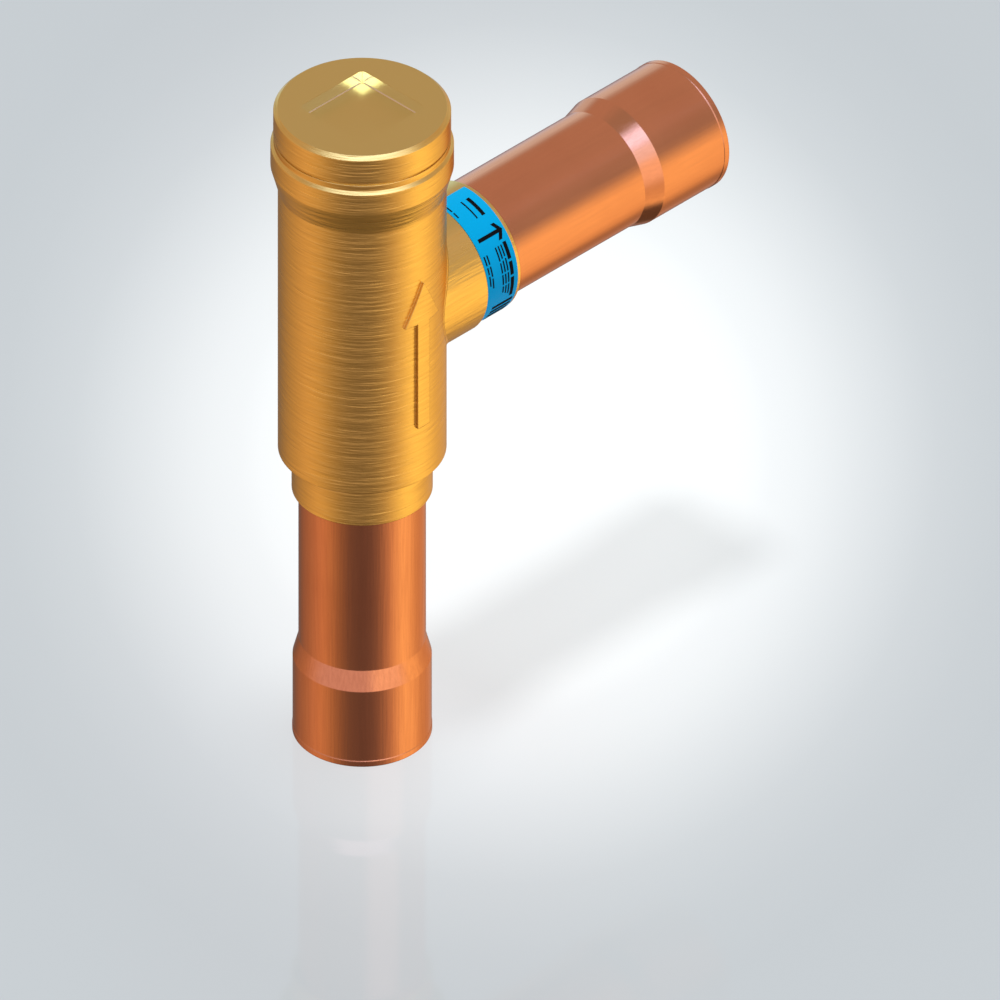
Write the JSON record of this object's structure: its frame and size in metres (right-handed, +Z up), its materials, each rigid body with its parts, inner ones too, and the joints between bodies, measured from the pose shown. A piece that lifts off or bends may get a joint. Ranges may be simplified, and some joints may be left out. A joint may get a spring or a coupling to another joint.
{
  "type": "refrigerant non-return valve",
  "caption": "Angle-way check valve: brass barrel with a square-socket cap, a spring-loaded piston inside, and flared copper ends below and at the side for brazing.",
  "frame": {"origin": "on the axis of the inlet tube, at the open end of its socket", "axes": "+Z up along the barrel from the inlet, +X out along the side outlet"},
  "size_m": [0.1484, 0.0504, 0.2081],
  "materials": {
    "brass": "brushed",
    "turned_brass": "turned",
    "copper": "drawn copper, satin",
    "braze_alloy": "as brazed",
    "spring_steel": "drawn wire",
    "zinc_steel": "zinc plated",
    "white_plastic": "satin",
    "seal_rubber": "matte",
    "label_blue": "printed film",
    "label_ink": "printed"
  },
  "bodies": {
    "housing": {"valve_body": "brass", "end_cap": "brass", "cap_seal_ring": "seal_rubber", "inlet_tube": "copper", "outlet_tube": "copper", "inlet_braze": "braze_alloy", "outlet_braze": "braze_alloy", "piston_guide": "turned_brass", "return_spring": "spring_steel", "flow_label": "label_blue", "label_print": "label_ink"},
    "piston_assembly": {"piston": "turned_brass", "damping_ring": "white_plastic", "valve_plate": "white_plastic", "plate_washer": "zinc_steel", "plate_screw": "zinc_steel"}
  },
  "joints": [
    {"name": "piston_lift", "type": "slide", "parent": "housing", "child": "piston_assembly", "axis": [0, 0, 1], "range_m": [0, 0.016], "stiffness_N_per_m": 165, "springref_m": -0.0182, "deforming": ["return_spring"]}
  ]
}
